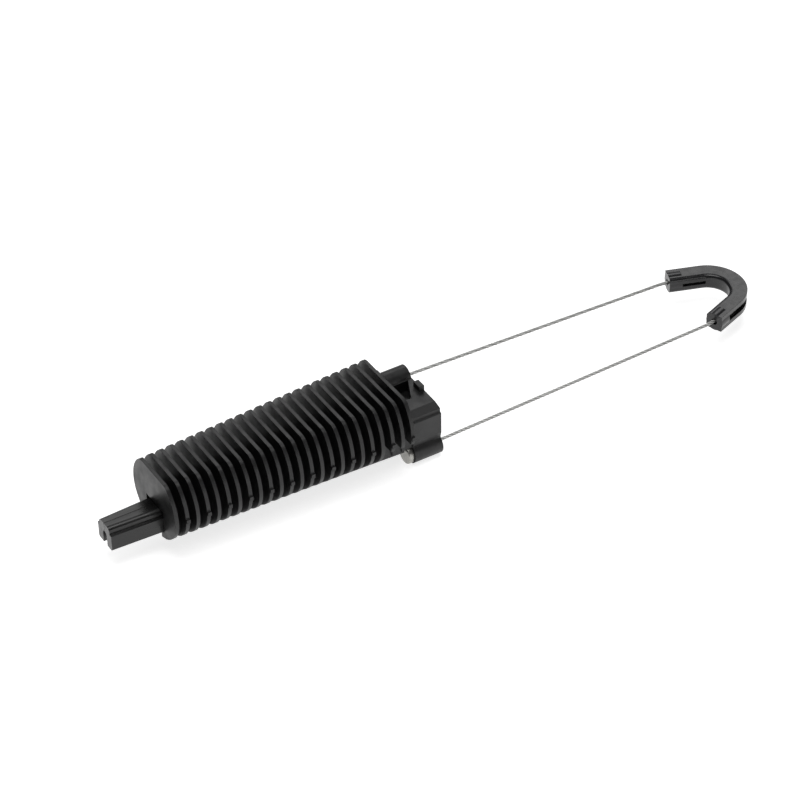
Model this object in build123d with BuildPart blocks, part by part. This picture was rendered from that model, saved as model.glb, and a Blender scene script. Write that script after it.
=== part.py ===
from build123d import *
from math import cos, radians, sin, sqrt
import os

os.makedirs("parts", exist_ok=True)

# Anchoring clamp for a round aerial cable: a finned, moulded clamp body, two long
# wedges that grip the cable inside it, and a wire rope bail with a thimble.
# Millimetres. X runs along the gripped cable, from the narrow fin towards the bail;
# Z is up; the origin is on the cable's axis at the front face of the narrow fin.

# ---- finned shell
fin_count = 24
fin_pitch = 7.5
fin_thickness = 2.6
fin_half_width_first = 29.0
fin_half_width_last = 36.5
fin_centre_height = 11.4        # centre of the fins' round outline above the cable's axis
fin_flat_first = 23.5           # flat top of the first fin above that centre
fin_flat_last = 25.5
fin_depth = 26.0                # that centre down to the fins' lower edge
fin_corner = 7.0
ear_width = 1.3                 # parting-line ear on every other fin
ear_height = 3.0

# ---- cable, wedges and their channel
cable_radius = 2.5
wedge_tip_x = -36.6
wedge_tail_inset = 8.0          # from the wide end of the wedges out to the head's end
wedge_half_width_tip = 9.3
wedge_taper = 0.045             # growth of the half width for each mm along X
wedge_top = 9.3
wedge_bottom = -8.0
wedge_ledge_height = 4.2
wedge_ledge_width = 2.0
wedge_ledge_fall = 0.3
wedge_crown_radius = 3.6
wedge_foot_chamfer = 1.0
parting_gap = 0.3               # between the two wedges
slide_clearance = 0.3           # between a wedge and the channel
channel_wall = 3.8
channel_corner = 2.66
mouth_half_width = 7.2          # cable slot along the underside

# ---- head
head_gap = 5.9                  # between the last fin and the head
head_length = 22.0
head_half_width = 25.0
head_top = 18.0
head_top_fall = 0.4
head_bottom = -22.2
head_shoulder = 8.0
groove_top = 16.0               # side groove above the ridge
ridge_height = 12.4
ridge_flank = 0.6
groove_depth = 1.4
waist_top = -3.6                # side waist between facet and boss
waist_bottom = -13.6
waist_depth = 2.0
waist_flank = 1.0
foot_draft = 1.2
boss_radius = 7.6
pocket_half_width_near = 6.3
pocket_half_width_far = 11.5
pocket_back_near = 12.0         # its slanting back wall, measured in from the head's end
pocket_back_far = 3.5
pocket_floor_drop = 1.0         # below the top of the wedges
lug_length = 4.0
lug_width = 7.5
lug_height = 4.0
lug_root = 1.0                  # sunk into the top of the head
gusset_height = 9.0             # rise of the gusset from the far boss up to the last fin
gusset_root = 2.5
gusset_foot = 0.6
gusset_run = 4.0                # how far it reaches over the head
gusset_inset = 1.0              # its half width is this much under the boss radius

# ---- bail
rope_radius = 1.25
rope_clearance = 0.3
anchor_offset_y = 20.0          # rope anchors sit diagonally about the cable's axis
anchor_offset_z = 15.3
ferrule_radius = 6.7
ferrule_length = 5.5
ferrule_seat_depth = 2.0
ferrule_rim = 0.8
relief_top = 6.0                # fins near a ferrule are cut away below this
relief_margin = 1.0
rope_bend_ratio = 8             # least radius of the rope's arcs, in rope diameters
route_ease = 0.1                # keeps the corner arcs from meeting end to end

# ---- thimble
bend_reach = 240.5              # from the head's end to the centre of the bend
bend_radius = 21.0              # of the rope's centre line round the thimble
leg_splay = 19.6                # degrees between each leg and X
leg_length = 24.5
thimble_height_z = -0.8
thimble_half_height = 6.1
thimble_inner_width = 6.5       # from the rope's line in to the eye
thimble_outer_width = 6.0       # from the rope's line out to the flange's rim
thimble_inner_round = 2.8
groove_half_height = 2.6
collar_radius = 6.7
collar_length = 9.6
collar_bore = 2.3
web_slot_length = 17.0
web_slot_height = 2.4

# ---- cutting tools
cut_overrun = 1.0               # how far a cut runs past the face it opens

# ---- worked out from the sizes above
shell_length = (fin_count - 1) * fin_pitch + fin_thickness
head_start_x = shell_length + head_gap
head_end_x = head_start_x + head_length
wedge_tail_x = head_end_x - wedge_tail_inset
bend_centre_x = head_end_x + bend_reach
core_top = wedge_top + slide_clearance + channel_wall
core_bottom = wedge_bottom - slide_clearance - channel_wall
seat_x = head_start_x + ferrule_seat_depth
groove_floor = rope_radius + rope_clearance
thimble_heading = (cos(radians(leg_splay)), sin(radians(leg_splay)))


def wedge_half_width(x):
    """Half width of the closed pair of wedges at x."""
    return wedge_half_width_tip + wedge_taper * (x - wedge_tip_x)


def channel_half_width(x):
    return wedge_half_width(x) + slide_clearance


def core_section(x):
    """Rounded box section of the channel's walls."""
    with BuildSketch(Plane.YZ.offset(x)) as section:
        with Locations((0, (core_top + core_bottom) / 2)):
            Rectangle(2 * (channel_half_width(x) + channel_wall), core_top - core_bottom)
        fillet(section.vertices(), channel_corner)
    return section.sketch


def channel_section(x):
    with BuildSketch(Plane.YZ.offset(x)) as section:
        with Locations((0, (wedge_top + wedge_bottom) / 2)):
            Rectangle(2 * channel_half_width(x), wedge_top - wedge_bottom + 2 * slide_clearance)
    return section.sketch


def fin_profile(x, half_width, flat):
    """A fin: round above its centre with a flat top, elliptical below."""
    with BuildSketch(Plane.YZ.offset(x)) as profile:
        with Locations((0, fin_centre_height)):
            Circle(half_width)
        with Locations((0, fin_centre_height - half_width)):
            Rectangle(2 * half_width, 2 * half_width, mode=Mode.SUBTRACT)
        with Locations((0, fin_centre_height)):
            Ellipse(half_width, fin_depth)
        with Locations((0, fin_centre_height + flat + half_width)):
            Rectangle(3 * half_width, 2 * half_width, mode=Mode.SUBTRACT)
        fillet(profile.vertices().group_by(Axis.Y)[-1], fin_corner)
    return profile.sketch


def head_profile():
    """Half outline of the head, seen along X: shoulder, groove, ridge, waist and foot."""
    with BuildSketch(Plane.YZ.offset(head_start_x)) as profile:
        with BuildLine():
            Polyline(
                (0, head_top),
                (head_half_width - head_shoulder, head_top - head_top_fall),
                (head_half_width - groove_depth, groove_top),
                (head_half_width - groove_depth, ridge_height + ridge_flank),
                (head_half_width, ridge_height),
                (head_half_width, waist_top),
                (head_half_width - waist_depth, waist_bottom + waist_flank),
                (head_half_width, waist_bottom),
                (head_half_width - foot_draft, head_bottom),
                (0, head_bottom),
                close=True,
            )
        make_face()
        mirror(about=Plane.YZ)
    return profile.sketch


def rope_line(side):
    """Start and heading of the rope where it leaves its ferrule; side is -1 near, 1 far."""
    start = Vector(seat_x, side * anchor_offset_y, side * anchor_offset_z)
    return start, Vector(*leg_start(side)) - start


def bend_point(side, offset, along=0.0):
    """A point beside the rope's line: at the bend's end, or back along the leg."""
    reach = bend_radius + offset
    x = bend_centre_x + reach * thimble_heading[1] - along * thimble_heading[0]
    y = side * (reach * thimble_heading[0] + along * thimble_heading[1])
    return x, y


def leg_start(side):
    return (*bend_point(side, 0, leg_length), thimble_height_z)


def leg_plane(side, along):
    """Plane across a leg, looking towards the bend."""
    origin = (*bend_point(side, 0, along), thimble_height_z)
    return Plane(origin=origin, x_dir=(0, 0, 1), z_dir=(thimble_heading[0], -side * thimble_heading[1], 0))


def thimble_band(inner, outer, leg, plane):
    """A U shaped band either side of the rope's line, in plan."""
    arc_start = -(90 - leg_splay)
    arc_size = 180 - 2 * leg_splay
    with BuildSketch(plane) as band:
        with BuildLine():
            Line(bend_point(-1, outer, leg), bend_point(-1, outer))
            CenterArc((bend_centre_x, 0), bend_radius + outer, arc_start, arc_size)
            Line(bend_point(1, outer), bend_point(1, outer, leg))
            Line(bend_point(1, outer, leg), bend_point(1, inner, leg))
            Line(bend_point(1, inner, leg), bend_point(1, inner))
            CenterArc((bend_centre_x, 0), bend_radius + inner, arc_start, arc_size)
            Line(bend_point(-1, inner), bend_point(-1, inner, leg))
            Line(bend_point(-1, inner, leg), bend_point(-1, outer, leg))
        make_face()
    return band.sketch


# ---- clamp body: fins, channel walls and head in one moulding
with BuildPart() as clamp_body:
    add(core_section(0))
    add(core_section(head_end_x))
    loft()

    for index in range(fin_count):
        share = index / (fin_count - 1)
        half_width = fin_half_width_first + share * (fin_half_width_last - fin_half_width_first)
        flat = fin_flat_first + share * (fin_flat_last - fin_flat_first)
        extrude(fin_profile(index * fin_pitch, half_width, flat), amount=fin_thickness)
        if index % 2 == 1:
            ear_x = index * fin_pitch + fin_thickness / 2
            with Locations((ear_x, 0, fin_centre_height)):
                Box(fin_thickness, 2 * (half_width + ear_width), ear_height)

    extrude(head_profile(), amount=head_end_x - head_start_x)

    # rope bosses in the head, and the gusset that ties the far one to the last fin
    for side in (-1, 1):
        with BuildSketch(Plane.YZ.offset(head_start_x)):
            with Locations((side * anchor_offset_y, side * anchor_offset_z)):
                Circle(boss_radius)
        extrude(amount=head_end_x - head_start_x)
    boss_top = anchor_offset_z + boss_radius
    with BuildSketch(Plane.XZ.offset(-anchor_offset_y)):
        with BuildLine():
            Polyline(
                (shell_length - fin_thickness, boss_top - gusset_root),
                (shell_length - fin_thickness, boss_top + gusset_height),
                (head_start_x + gusset_run, boss_top - gusset_foot),
                (head_start_x + gusset_run, boss_top - gusset_root),
                close=True,
            )
        make_face()
    extrude(amount=boss_radius - gusset_inset, both=True)

    with Locations((head_end_x - lug_length / 2, 0, head_top + (lug_height - lug_root) / 2)):
        Box(lug_length, lug_width, lug_height + lug_root)

    # channel for the wedges, the cable slot below it and the pocket on top
    with BuildPart(mode=Mode.PRIVATE) as channel:
        add(channel_section(-cut_overrun))
        add(channel_section(head_end_x + cut_overrun))
        loft()
    add(channel.part, mode=Mode.SUBTRACT)
    with Locations((head_end_x / 2, 0, head_bottom)):
        Box(
            head_end_x + 2 * cut_overrun,
            2 * mouth_half_width,
            2 * (wedge_bottom - head_bottom),
            mode=Mode.SUBTRACT,
        )
    with BuildSketch(Plane.XY.offset(wedge_top - pocket_floor_drop)):
        with BuildLine():
            Polyline(
                (shell_length, -pocket_half_width_near),
                (head_end_x - pocket_back_near, -pocket_half_width_near),
                (head_end_x - pocket_back_far, pocket_half_width_far),
                (shell_length, pocket_half_width_far),
                close=True,
            )
        make_face()
    extrude(amount=fin_centre_height + fin_half_width_last, mode=Mode.SUBTRACT)

    # the last three fins step back to give the near ferrule its way in
    relief_start = (fin_count - 3) * fin_pitch - relief_margin
    relief_inner = channel_half_width(head_end_x) + channel_wall
    with Locations(((relief_start + head_start_x) / 2, -relief_inner, relief_top)):
        Box(
            head_start_x - relief_start,
            fin_half_width_last,
            2 * fin_depth,
            align=(Align.CENTER, Align.MAX, Align.MAX),
            mode=Mode.SUBTRACT,
        )

    # ferrule seats and sloping rope holes
    for side in (-1, 1):
        with BuildSketch(Plane.YZ.offset(seat_x)):
            with Locations((side * anchor_offset_y, side * anchor_offset_z)):
                Circle(ferrule_radius + slide_clearance)
        extrude(amount=-(seat_x - shell_length), mode=Mode.SUBTRACT)
        start, heading = rope_line(side)
        with BuildSketch(Plane(origin=start - heading.normalized() * 2 * cut_overrun, z_dir=heading)):
            Circle(rope_radius + rope_clearance)
        extrude(amount=head_end_x - seat_x + 6 * cut_overrun, mode=Mode.SUBTRACT)
clamp_body.part.label = "clamp_body"
export_step(clamp_body.part, "parts/clamp_body.step")


# ---- wedges: each is half of a tapered block, with half of the cable's groove
def wedge_section(x, side):
    outer = wedge_half_width(x)
    crown = outer - wedge_ledge_width
    inner = parting_gap / 2
    groove_crest = sqrt(cable_radius**2 - inner**2)
    crown_mid = (1 - sqrt(0.5)) * wedge_crown_radius
    with BuildSketch(Plane.YZ.offset(x)) as section:
        with BuildLine():
            Line((side * inner, wedge_top), (side * (crown - wedge_crown_radius), wedge_top))
            ThreePointArc(
                (side * (crown - wedge_crown_radius), wedge_top),
                (side * (crown - crown_mid), wedge_top - crown_mid),
                (side * crown, wedge_top - wedge_crown_radius),
            )
            Polyline(
                (side * crown, wedge_top - wedge_crown_radius),
                (side * crown, wedge_ledge_height + wedge_ledge_fall),
                (side * outer, wedge_ledge_height),
                (side * outer, wedge_bottom + wedge_foot_chamfer),
                (side * (outer - wedge_foot_chamfer), wedge_bottom),
                (side * cable_radius, wedge_bottom),
                (side * cable_radius, 0),
            )
            ThreePointArc(
                (side * cable_radius, 0),
                (side * cable_radius * sqrt(0.5), cable_radius * sqrt(0.5)),
                (side * inner, groove_crest),
            )
            Line((side * inner, groove_crest), (side * inner, wedge_top))
        make_face()
    return section.sketch


for name, side in (("wedge_near", -1), ("wedge_far", 1)):
    with BuildPart() as wedge:
        add(wedge_section(wedge_tip_x, side))
        add(wedge_section(wedge_tail_x, side))
        loft(ruled=True)
    wedge.part.label = name
    export_step(wedge.part, f"parts/{name}.step")


# ---- ferrules: a button pressed on each end of the rope
for name, side in (("ferrule_near", -1), ("ferrule_far", 1)):
    with BuildPart() as ferrule:
        with BuildSketch(Plane.YZ.offset(seat_x - ferrule_length)):
            with Locations((side * anchor_offset_y, side * anchor_offset_z)):
                Circle(ferrule_radius)
        extrude(amount=ferrule_length)
        chamfer(ferrule.edges().filter_by(GeomType.CIRCLE), ferrule_rim)
    ferrule.part.label = name
    export_step(ferrule.part, f"parts/{name}.step")


# ---- bail rope: straight from each ferrule to the thimble, and round its bend
bend_turns = 4
turn = (180 - 2 * leg_splay) / bend_turns
corner_reach = bend_radius / cos(radians(turn / 2))
route = [tuple(rope_line(-1)[0]), leg_start(-1)]
for corner in range(bend_turns):
    angle = radians(-(90 - leg_splay) + turn * (corner + 0.5))
    route.append((bend_centre_x + corner_reach * cos(angle), corner_reach * sin(angle), thimble_height_z))
route += [leg_start(1), tuple(rope_line(1)[0])]
mouth_arc = rope_bend_ratio * 2 * rope_radius
radii = [mouth_arc] + [bend_radius - route_ease] * bend_turns + [mouth_arc]
print("bail rope arc radii, mm:", radii)

with BuildPart() as bail_rope:
    with BuildLine() as rope_route:
        FilletPolyline(*route, radius=radii)
    with BuildSketch(Plane(origin=rope_route.line @ 0, z_dir=rope_route.line % 0)):
        Circle(rope_radius)
    sweep(path=rope_route.line)
bail_rope.part.label = "bail_rope"
export_step(bail_rope.part, "parts/bail_rope.step")


# ---- thimble: a moulded U with an outward groove, closed collars and slotted legs
thimble_base = Plane.XY.offset(thimble_height_z - thimble_half_height)
with BuildPart() as thimble:
    add(thimble_band(-thimble_inner_width, thimble_outer_width, leg_length, thimble_base))
    extrude(amount=2 * thimble_half_height)
    flat_faces = thimble.faces().filter_by(Axis.Z)
    inner_edges = flat_faces.edges().filter_by(
        lambda edge: abs(edge.length - radians(180 - 2 * leg_splay) * (bend_radius - thimble_inner_width)) < 0.01
    )
    fillet(inner_edges, thimble_inner_round)
    for side in (-1, 1):
        with BuildSketch(leg_plane(side, leg_length)):
            Circle(collar_radius)
        extrude(amount=collar_length)

    add(
        thimble_band(
            -groove_floor,
            thimble_outer_width + cut_overrun,
            leg_length - collar_length,
            Plane.XY.offset(thimble_height_z - groove_half_height),
        )
    )
    extrude(amount=2 * groove_half_height, mode=Mode.SUBTRACT)
    for side in (-1, 1):
        with BuildSketch(leg_plane(side, leg_length + cut_overrun)):
            Circle(collar_bore)
        extrude(amount=collar_length + 2 * cut_overrun, mode=Mode.SUBTRACT)
        with BuildSketch(leg_plane(side, leg_length - collar_length)):
            with Locations((0, side * thimble_inner_width / 2)):
                Rectangle(web_slot_height, thimble_inner_width + 2 * groove_floor)
        extrude(amount=web_slot_length, mode=Mode.SUBTRACT)
thimble.part.label = "thimble"
export_step(thimble.part, "parts/thimble.step")
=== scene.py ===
import math

import bpy
from mathutils import Matrix, Vector


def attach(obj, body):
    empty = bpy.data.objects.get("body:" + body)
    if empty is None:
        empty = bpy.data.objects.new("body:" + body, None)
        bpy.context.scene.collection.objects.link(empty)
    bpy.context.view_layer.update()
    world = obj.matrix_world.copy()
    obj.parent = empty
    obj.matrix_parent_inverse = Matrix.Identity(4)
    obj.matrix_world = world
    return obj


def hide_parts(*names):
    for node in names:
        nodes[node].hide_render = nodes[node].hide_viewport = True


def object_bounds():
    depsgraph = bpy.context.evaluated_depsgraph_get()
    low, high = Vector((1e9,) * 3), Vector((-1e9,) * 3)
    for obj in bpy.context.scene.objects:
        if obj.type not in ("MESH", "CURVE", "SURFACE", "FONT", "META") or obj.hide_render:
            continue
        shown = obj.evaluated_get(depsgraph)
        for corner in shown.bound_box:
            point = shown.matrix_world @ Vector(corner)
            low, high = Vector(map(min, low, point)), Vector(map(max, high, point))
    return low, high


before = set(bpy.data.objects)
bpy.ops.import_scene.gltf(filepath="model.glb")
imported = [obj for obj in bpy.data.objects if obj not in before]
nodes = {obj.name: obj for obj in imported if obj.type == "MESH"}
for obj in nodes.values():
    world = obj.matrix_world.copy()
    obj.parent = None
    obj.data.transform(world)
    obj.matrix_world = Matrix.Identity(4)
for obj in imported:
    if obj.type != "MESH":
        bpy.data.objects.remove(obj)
cad_low, cad_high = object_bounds()
MM = 0.001

# ---------------------------------------------------------------- camera
# The camera looks along one heading at a point on the clamp; angles in degrees.
CAMERA_TARGET = Vector((0.1711, -0.0248, 0.03736))
CAMERA_DISTANCE = 1.8717
CAMERA_HEADING = 58.83          # from +X towards +Y
CAMERA_DOWN = 38.64
CAMERA_ROLL = -0.89
CAMERA_LENS = 128.25


def make_camera():
    heading, down = math.radians(CAMERA_HEADING), math.radians(CAMERA_DOWN)
    forward = Vector(
        (math.cos(down) * math.cos(heading), math.cos(down) * math.sin(heading), -math.sin(down))
    )
    data = bpy.data.cameras.new("camera")
    data.lens = CAMERA_LENS
    data.clip_start, data.clip_end = 0.05, 20
    camera = bpy.data.objects.new("camera", data)
    bpy.context.scene.collection.objects.link(camera)
    facing = forward.to_track_quat("-Z", "Y").to_matrix().to_4x4()
    roll = Matrix.Rotation(math.radians(CAMERA_ROLL), 4, "Z")
    camera.matrix_world = Matrix.Translation(CAMERA_TARGET - forward * CAMERA_DISTANCE) @ facing @ roll
    bpy.context.scene.camera = camera


make_camera()
bpy.context.scene.view_settings.view_transform = "Standard"

# ---------------------------------------------------------------- materials


class Surface:
    """A Principled material with small helpers for procedural detail."""

    def __init__(self, name, color, roughness, metallic=0.0, specular=0.5):
        self.material = bpy.data.materials.new(name)
        self.material.use_nodes = True
        self.tree = self.material.node_tree
        self.shader = self.tree.nodes["Principled BSDF"]
        self.shader.inputs["Base Color"].default_value = (*color, 1)
        self.shader.inputs["Roughness"].default_value = roughness
        self.shader.inputs["Metallic"].default_value = metallic
        self.shader.inputs["Specular IOR Level"].default_value = specular
        self.place = self.tree.nodes.new("ShaderNodeTexCoord").outputs["Object"]
        self.normal = None

    def node(self, kind, **values):
        made = self.tree.nodes.new(kind)
        for key, value in values.items():
            made.inputs[key].default_value = value
        return made

    def noise(self, size, detail=3.0, stretch=None):
        """Noise whose blotches are about size metres across."""
        made = self.node("ShaderNodeTexNoise", Scale=1 / size, Detail=detail)
        source = self.place
        if stretch:
            mapping = self.tree.nodes.new("ShaderNodeMapping")
            mapping.inputs["Scale"].default_value = stretch
            self.tree.links.new(source, mapping.inputs["Vector"])
            source = mapping.outputs["Vector"]
        self.tree.links.new(source, made.inputs["Vector"])
        return made.outputs["Fac"]

    def between(self, fac, low, high):
        """A number that runs from low to high over the middle of a noise."""
        made = self.node("ShaderNodeMapRange")
        for key, value in (("From Min", 0.35), ("From Max", 0.65), ("To Min", low), ("To Max", high)):
            made.inputs[key].default_value = value
        self.tree.links.new(fac, made.inputs["Value"])
        return made.outputs["Result"]

    def roughness_from(self, fac, low, high):
        self.tree.links.new(self.between(fac, low, high), self.shader.inputs["Roughness"])

    def color_from(self, fac, dark, light, start=0.35, stop=0.65):
        ramp = self.tree.nodes.new("ShaderNodeValToRGB")
        ramp.color_ramp.elements[0].position = start
        ramp.color_ramp.elements[1].position = stop
        ramp.color_ramp.elements[0].color = (*dark, 1)
        ramp.color_ramp.elements[1].color = (*light, 1)
        self.tree.links.new(fac, ramp.inputs["Fac"])
        self.tree.links.new(ramp.outputs["Color"], self.shader.inputs["Base Color"])

    def painted_crevice_shade(self, reach):
        """A number that falls where the surface is shut in by what lies within reach, used to paint
        shade into crevices.
        """
        made = self.node("ShaderNodeAmbientOcclusion", Distance=reach)
        return made.outputs["AO"]

    def soft_edges(self, radius):
        """Moulded edges catch the light as if slightly rounded."""
        made = self.node("ShaderNodeBevel", Radius=radius)
        self.normal = made.outputs["Normal"]

    def bump(self, fac, depth, strength=1.0):
        made = self.node("ShaderNodeBump", Strength=strength, Distance=depth)
        self.tree.links.new(fac, made.inputs["Height"])
        if self.normal:
            self.tree.links.new(self.normal, made.inputs["Normal"])
        self.normal = made.outputs["Normal"]

    def done(self):
        if self.normal:
            self.tree.links.new(self.normal, self.shader.inputs["Normal"])
        return self.material


def body_plastic():
    surface = Surface("body_plastic", (0.0035, 0.0035, 0.0038), 0.46)
    surface.soft_edges(0.45 * MM)
    blotch = surface.noise(9 * MM)
    grain = surface.noise(0.35 * MM, detail=2)
    surface.color_from(blotch, (0.0028, 0.0028, 0.0031), (0.0046, 0.0046, 0.005))
    surface.roughness_from(blotch, 0.4, 0.52)
    surface.bump(grain, 0.02 * MM, 0.6)
    return surface.done()


def wedge_plastic():
    surface = Surface("wedge_plastic", (0.02, 0.02, 0.02), 0.3)
    surface.soft_edges(0.35 * MM)
    streak = surface.noise(6 * MM, stretch=(0.2, 1, 1))
    surface.color_from(streak, (0.004, 0.004, 0.004), (0.008, 0.008, 0.0078))
    surface.roughness_from(streak, 0.25, 0.38)
    surface.bump(surface.noise(0.8 * MM), 0.02 * MM, 0.5)
    return surface.done()


def thimble_plastic():
    surface = Surface("thimble_plastic", (0.006, 0.006, 0.007), 0.26)
    surface.soft_edges(0.4 * MM)
    blotch = surface.noise(5 * MM)
    surface.color_from(blotch, (0.005, 0.005, 0.006), (0.009, 0.009, 0.0105))
    surface.roughness_from(blotch, 0.2, 0.3)
    surface.bump(surface.noise(0.5 * MM), 0.01 * MM, 0.4)
    return surface.done()


def strand_steel():
    surface = Surface("strand_steel", (0.4, 0.4, 0.39), 0.4, metallic=0.6, specular=0.3)
    blotch = surface.noise(3 * MM)
    # Painted shade: ambient occlusion darkens the base colour in the crevices between strands, leaving
    # only the crests light.
    surface.color_from(surface.painted_crevice_shade(0.8 * MM), (0.005, 0.005, 0.005), (0.9, 0.9, 0.88), 0.6, 0.95)
    surface.roughness_from(blotch, 0.36, 0.5)
    surface.bump(surface.noise(0.3 * MM), 0.01 * MM, 0.4)
    return surface.done()


def ferrule_steel():
    surface = Surface("ferrule_steel", (0.5, 0.49, 0.46), 0.36, metallic=1.0)
    surface.soft_edges(0.3 * MM)
    blotch = surface.noise(2.5 * MM)
    surface.color_from(blotch, (0.27, 0.265, 0.25), (0.4, 0.395, 0.37))
    surface.roughness_from(blotch, 0.3, 0.45)
    surface.bump(surface.noise(0.4 * MM), 0.02 * MM, 0.6)
    return surface.done()


def dress(item, material):
    item.data.materials.clear()
    item.data.materials.append(material)


FINISHES = {
    "clamp_body": body_plastic(),
    "thimble": thimble_plastic(),
}
WEDGE = wedge_plastic()
FERRULE = ferrule_steel()
STRAND = strand_steel()
for node_name, finish in FINISHES.items():
    dress(nodes[node_name], finish)
for node_name in ("wedge_near", "wedge_far"):
    dress(nodes[node_name], WEDGE)
for node_name in ("ferrule_near", "ferrule_far"):
    dress(nodes[node_name], FERRULE)

# ---------------------------------------------------------------- bail rope
# Its route is the CAD route: ferrule, thimble mouth, round the bend, mouth, ferrule.
ROPE_RADIUS = 1.25 * MM
BEND_CENTRE = Vector((0.4435, 0, -0.0008))
BEND_RADIUS = 0.021
LEG_SPLAY = 19.6
LEG_LENGTH = 0.0245
SEAT = Vector((0.183, 0.020, 0.0153))
BEND_TURNS = 4
MOUTH_RUN = 15 * MM
STRAND_COUNT = 6
STRAND_RADIUS = 0.33 * MM
LAY_LENGTH = 21 * MM
STRAND_SIDES = 6
CORE_RADIUS = ROPE_RADIUS - 1.7 * STRAND_RADIUS
STATION_STEP = 1.0 * MM
ROUTE_RESOLUTION = 64


def rope_route():
    splay = math.radians(LEG_SPLAY)
    mouth_x = BEND_CENTRE.x + BEND_RADIUS * math.sin(splay) - LEG_LENGTH * math.cos(splay)
    mouth_y = BEND_RADIUS * math.cos(splay) + LEG_LENGTH * math.sin(splay)
    near_seat, far_seat = Vector((SEAT.x, -SEAT.y, -SEAT.z)), SEAT.copy()
    near_mouth = Vector((mouth_x, -mouth_y, BEND_CENTRE.z))
    far_mouth = Vector((mouth_x, mouth_y, BEND_CENTRE.z))
    points = [near_seat, near_mouth + (near_seat - near_mouth).normalized() * MOUTH_RUN, near_mouth]
    turn = (math.pi - 2 * splay) / BEND_TURNS
    reach = BEND_RADIUS / math.cos(turn / 2)
    for corner in range(BEND_TURNS):
        angle = -(math.pi / 2 - splay) + turn * (corner + 0.5)
        points.append(BEND_CENTRE + reach * Vector((math.cos(angle), math.sin(angle), 0)))
    points += [far_mouth, far_mouth + (far_seat - far_mouth).normalized() * MOUTH_RUN, far_seat]
    return points


def smooth_line(points, resolution):
    """Points read from a NURBS spline that has these control points."""
    data = bpy.data.curves.new("route", "CURVE")
    data.dimensions = "3D"
    spline = data.splines.new("NURBS")
    spline.points.add(len(points) - 1)
    for target, point in zip(spline.points, points):
        target.co = (*point, 1)
    spline.order_u = 3
    spline.use_endpoint_u = True
    spline.resolution_u = resolution
    holder = bpy.data.objects.new("route", data)
    bpy.context.scene.collection.objects.link(holder)
    mesh = bpy.data.meshes.new_from_object(holder)
    line = [vertex.co.copy() for vertex in mesh.vertices]
    bpy.data.objects.remove(holder)
    bpy.data.meshes.remove(mesh)
    bpy.data.curves.remove(data)
    return line


def resample(line, step):
    """The same line with points a step apart."""
    points, carried = [line[0].copy()], 0.0
    for start, end in zip(line, line[1:]):
        span = (end - start).length
        if span < 1e-9:
            continue
        travel = step - carried
        while travel <= span:
            points.append(start.lerp(end, travel / span))
            travel += step
        carried = span - (travel - step)
    points.append(line[-1].copy())
    return points


def frames_along(line):
    """A tangent and two steady cross directions at each point of a line."""
    found = []
    side = None
    for index, point in enumerate(line):
        tangent = (line[min(index + 1, len(line) - 1)] - line[max(index - 1, 0)]).normalized()
        if side is None:
            side = tangent.cross(Vector((0, 0, 1))).normalized()
        side = (side - tangent * side.dot(tangent)).normalized()
        found.append((point, tangent, side, tangent.cross(side)))
    return found


def tube(centres, radius, sides, vertices, faces):
    """Adds a closed tube along the centres to the vertex and face lists."""
    base = len(vertices)
    for point, _, side, up in frames_along(centres):
        for number in range(sides):
            angle = 2 * math.pi * number / sides
            vertices.append(point + radius * (math.cos(angle) * side + math.sin(angle) * up))
    rings = len(centres)
    for ring in range(rings - 1):
        for number in range(sides):
            nearer = base + ring * sides + number
            beside = base + ring * sides + (number + 1) % sides
            faces.append((nearer, beside, beside + sides, nearer + sides))
    faces.append(tuple(base + number for number in reversed(range(sides))))
    faces.append(tuple(base + (rings - 1) * sides + number for number in range(sides)))


def mesh_piece(name, vertices, faces, material, body, smooth=True):
    data = bpy.data.meshes.new(name)
    data.from_pydata(vertices, [], faces)
    data.update()
    if smooth:
        data.polygons.foreach_set("use_smooth", [True] * len(data.polygons))
    data.materials.append(material)
    made = bpy.data.objects.new(name, data)
    bpy.context.scene.collection.objects.link(made)
    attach(made, body)
    return made


def make_bail():
    route = smooth_line(rope_route(), ROUTE_RESOLUTION)
    line = resample(route, STATION_STEP)
    stations = frames_along(line)
    vertices, faces = [], []
    tube(line, CORE_RADIUS, STRAND_SIDES, vertices, faces)
    orbit = ROPE_RADIUS - STRAND_RADIUS
    for strand in range(STRAND_COUNT):
        start = 2 * math.pi * strand / STRAND_COUNT
        centres = []
        for index, (point, _, side, up) in enumerate(stations):
            angle = start + 2 * math.pi * index * STATION_STEP / LAY_LENGTH
            centres.append(point + orbit * (math.cos(angle) * side + math.sin(angle) * up))
        tube(centres, STRAND_RADIUS, STRAND_SIDES, vertices, faces)
    bail = mesh_piece("bail_strands", vertices, faces, STRAND, "clamp")
    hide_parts("bail_rope")


make_bail()

# ---------------------------------------------------------------- ferrules
# Buttons a little larger and longer than the solids, with a rounded rim.
FERRULE_RADIUS, FERRULE_LENGTH, FERRULE_RIM = 0.0068, 0.0064, 0.0009
FERRULE_SIDES, RIM_STEPS = 64, 4


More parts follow.
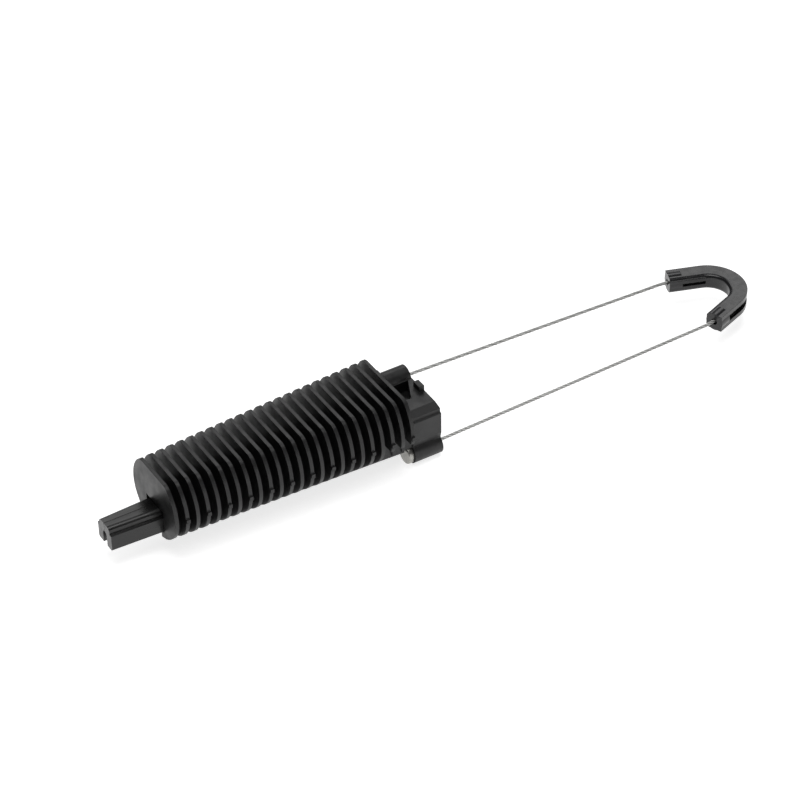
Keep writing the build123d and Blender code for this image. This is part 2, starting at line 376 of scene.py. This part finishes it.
def make_ferrule(node_name, side):
    """A lathed button on one end of the rope, its face towards the fins."""
    outline = [(0.0, 0.0)]
    for step in range(RIM_STEPS + 1):
        angle = math.pi / 2 * step / RIM_STEPS
        outline.append(
            (FERRULE_RIM * (1 - math.cos(angle)), FERRULE_RADIUS - FERRULE_RIM * (1 - math.sin(angle)))
        )
    outline += [(FERRULE_LENGTH, FERRULE_RADIUS), (FERRULE_LENGTH, 0.0)]
    vertices, faces = [], []
    for depth, radius in outline:
        for number in range(FERRULE_SIDES):
            angle = 2 * math.pi * number / FERRULE_SIDES
            vertices.append(
                (
                    SEAT.x - FERRULE_LENGTH + depth,
                    side * SEAT.y + radius * math.cos(angle),
                    side * SEAT.z + radius * math.sin(angle),
                )
            )
    for ring in range(len(outline) - 1):
        for number in range(FERRULE_SIDES):
            nearer = ring * FERRULE_SIDES + number
            beside = ring * FERRULE_SIDES + (number + 1) % FERRULE_SIDES
            faces.append((nearer, beside, beside + FERRULE_SIDES, nearer + FERRULE_SIDES))
    button = mesh_piece(node_name + "_button", vertices, faces, FERRULE, "clamp")
    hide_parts(node_name)


make_ferrule("ferrule_near", -1)
make_ferrule("ferrule_far", 1)

# ---------------------------------------------------------------- wedge tails in the head's pocket
# Their section is the wedges' own: crown, ledge, foot chamfer and half of the groove.
TAIL_START, TAIL_END = 0.1948, 0.202
TAIL_TOP, TAIL_BOTTOM = 0.0093, -0.008
TAIL_GAP = 0.15 * MM
WEDGE_TIP_X = -0.0366
WEDGE_TIP_HALF_WIDTH = 0.0093
WEDGE_TAPER = 0.045
CROWN_RADIUS = 3.6 * MM
LEDGE_WIDTH = 2 * MM
LEDGE_HEIGHT, LEDGE_FALL = 4.2 * MM, 0.3 * MM
SIDE_INSET = 0.4 * MM
FOOT_CHAMFER = 1 * MM
GROOVE_RADIUS, GROOVE_MIDDLE = 2.5 * MM, 1.8 * MM


def make_tail(name, side, body):
    """The wide end of a wedge, run on to the back of the pocket."""
    outer = WEDGE_TIP_HALF_WIDTH + WEDGE_TAPER * (TAIL_END - WEDGE_TIP_X)
    crown, flank = outer - LEDGE_WIDTH, outer - SIDE_INSET
    section = [
        (TAIL_GAP, TAIL_TOP),
        (crown - CROWN_RADIUS, TAIL_TOP),
        (crown, TAIL_TOP - CROWN_RADIUS),
        (crown, LEDGE_HEIGHT + LEDGE_FALL),
        (flank, LEDGE_HEIGHT),
        (flank, TAIL_BOTTOM + FOOT_CHAMFER),
        (flank - FOOT_CHAMFER, TAIL_BOTTOM),
        (GROOVE_RADIUS, TAIL_BOTTOM),
        (GROOVE_RADIUS, 0),
        (GROOVE_MIDDLE, GROOVE_MIDDLE),
        (TAIL_GAP, GROOVE_RADIUS),
    ]
    if side < 0:
        section = [(-y, z) for y, z in reversed(section)]
    count = len(section)
    vertices = [(x, y, z) for x in (TAIL_START, TAIL_END) for y, z in section]
    faces = [tuple(reversed(range(count))), tuple(range(count, 2 * count))]
    for number in range(count):
        beside = (number + 1) % count
        faces.append((number, beside, beside + count, number + count))
    tail = mesh_piece(name, vertices, faces, WEDGE, body, smooth=False)


make_tail("near_wedge_tail", -1, "near_wedge")
make_tail("far_wedge_tail", 1, "far_wedge")

# ---------------------------------------------------------------- floor, backdrop and light


FLOOR_HALF_SIZE = 6.0
FLOOR_GAP = 0.2 * MM
FLOOR_GLOW = 0.74
AMBIENT = 0.15


def seen_by(tree, *rays):
    """A number that is 1 for camera rays and for the other kinds named."""
    path = tree.nodes.new("ShaderNodeLightPath")
    seen = path.outputs["Is Camera Ray"]
    for ray in rays:
        either = tree.nodes.new("ShaderNodeMath")
        either.operation = "MAXIMUM"
        tree.links.new(seen, either.inputs[0])
        tree.links.new(path.outputs[ray], either.inputs[1])
        seen = either.outputs[0]
    return seen


def white_to_camera(tree, shaded, surface_input, strength):
    """Adds white for the camera over the shading, so the shadow stays."""
    glow = tree.nodes.new("ShaderNodeEmission")
    glow.inputs["Strength"].default_value = strength
    both = tree.nodes.new("ShaderNodeAddShader")
    tree.links.new(shaded, both.inputs[0])
    tree.links.new(glow.outputs[0], both.inputs[1])
    mix = tree.nodes.new("ShaderNodeMixShader")
    tree.links.new(seen_by(tree, "Is Glossy Ray", "Is Transmission Ray"), mix.inputs[0])
    tree.links.new(shaded, mix.inputs[1])
    tree.links.new(both.outputs[0], mix.inputs[2])
    tree.links.new(mix.outputs[0], surface_input)


def make_floor():
    size = FLOOR_HALF_SIZE
    level = cad_low.z - FLOOR_GAP
    data = bpy.data.meshes.new("floor")
    corners = [(-size, -size, level), (size, -size, level), (size, size, level), (-size, size, level)]
    data.from_pydata(corners, [], [(0, 1, 2, 3)])
    floor = bpy.data.objects.new("floor", data)
    bpy.context.scene.collection.objects.link(floor)
    material = bpy.data.materials.new("floor_white")
    material.use_nodes = True
    tree = material.node_tree
    tree.nodes.remove(tree.nodes["Principled BSDF"])
    matt = tree.nodes.new("ShaderNodeBsdfDiffuse")
    matt.inputs["Color"].default_value = (0.8, 0.8, 0.8, 1)
    white_to_camera(tree, matt.outputs[0], tree.nodes["Material Output"].inputs["Surface"], FLOOR_GLOW)
    data.materials.append(material)


def make_world():
    world = bpy.data.worlds.new("studio")
    bpy.context.scene.world = world
    world.use_nodes = True
    tree = world.node_tree
    ambient = tree.nodes["Background"]
    ambient.inputs["Color"].default_value = (1, 1, 1, 1)
    ambient.inputs["Strength"].default_value = AMBIENT
    white = tree.nodes.new("ShaderNodeBackground")
    white.inputs["Strength"].default_value = 1.0
    mix = tree.nodes.new("ShaderNodeMixShader")
    tree.links.new(seen_by(tree, "Is Transmission Ray"), mix.inputs[0])
    tree.links.new(ambient.outputs[0], mix.inputs[1])
    tree.links.new(white.outputs[0], mix.inputs[2])
    tree.links.new(mix.outputs[0], tree.nodes["World Output"].inputs["Surface"])


def make_lamp(name, place, target, width, height, power):
    data = bpy.data.lights.new(name, "AREA")
    data.shape = "RECTANGLE"
    data.size, data.size_y = width, height
    data.energy = power
    lamp = bpy.data.objects.new(name, data)
    bpy.context.scene.collection.objects.link(lamp)
    lamp.location = place
    lamp.rotation_mode = "QUATERNION"
    lamp.rotation_quaternion = (Vector(target) - Vector(place)).to_track_quat("-Z", "Y")


make_floor()
make_world()
MIDDLE = (0.2, 0, 0)
make_lamp("key", (0.05, -0.15, 1.4), MIDDLE, 1.0, 0.8, 9.0)
make_lamp("back", (0.75, 1.15, 1.05), MIDDLE, 1.6, 0.7, 7.0)
make_lamp("side", (0.45, -1.4, 0.3), MIDDLE, 0.9, 0.4, 2.5)
